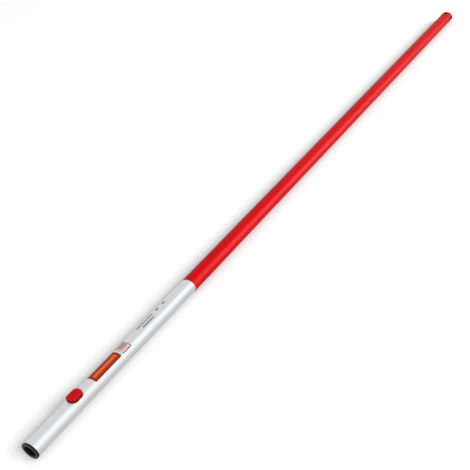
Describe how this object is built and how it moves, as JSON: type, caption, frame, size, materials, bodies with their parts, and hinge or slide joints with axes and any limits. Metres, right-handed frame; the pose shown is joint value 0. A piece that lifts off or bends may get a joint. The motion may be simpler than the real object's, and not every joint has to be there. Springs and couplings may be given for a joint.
{
  "type": "quick-change tool handle",
  "caption": "Long oval aluminium tool handle with a red grip sleeve, a black snap-in tool socket with a red push-button release, and a drilled hanging cap.",
  "frame": {"origin": "on the tube's axis, in the plane of the socket's mouth", "axes": "+X along the tube from the socket to the hanging cap, +Z towards the release button, the handle lies on its -Z side"},
  "size_m": [1.504, 0.0282, 0.0276],
  "materials": {
    "tube_aluminium": "satin, lightly brushed along its length",
    "sleeve_red": "smooth red sleeve with a soft sheen",
    "liner_black": "moulded black plastic, fine grain",
    "button_red": "moulded red plastic, satin",
    "lever_steel": "zinc-plated stamped steel",
    "pin_steel": "ground steel",
    "spring_steel": "drawn spring wire",
    "rivet_aluminium": "plain, slightly worn",
    "mandrel_steel": "broken-off steel shank",
    "cap_red": "moulded red plastic",
    "label_orange": "printed film, orange with a dark red border",
    "sticker_pale": "printed film, pale with a grey border"
  },
  "bodies": {
    "handle": {"handle_tube": "tube_aluminium", "grip_sleeve": "sleeve_red", "socket_liner": "liner_black", "pivot_pin": "pin_steel", "return_spring": "spring_steel", "rivet_body": "rivet_aluminium", "rivet_mandrel": "mandrel_steel", "end_cap": "cap_red", "front_label": "label_orange", "size_sticker": "sticker_pale"},
    "button": {"release_button": "button_red"},
    "latch": {"latch_lever": "lever_steel"}
  },
  "joints": [
    {"name": "button_press", "type": "slide", "parent": "handle", "child": "button", "axis": [0, 0, -1], "range_m": [0, 0.0024], "stiffness_N_per_m": 2500, "springref_m": -0.003, "deforming": ["return_spring"]},
    {"name": "latch_lift", "type": "hinge", "parent": "handle", "child": "latch", "pos_m": [0.071, 0, 0.0075], "axis": [0, 1, 0], "range_deg": [0, 7.7]}
  ],
  "couplings": [
    {"joint": "latch_lift", "follows": "button_press", "rad_per_m": 55.556}
  ]
}
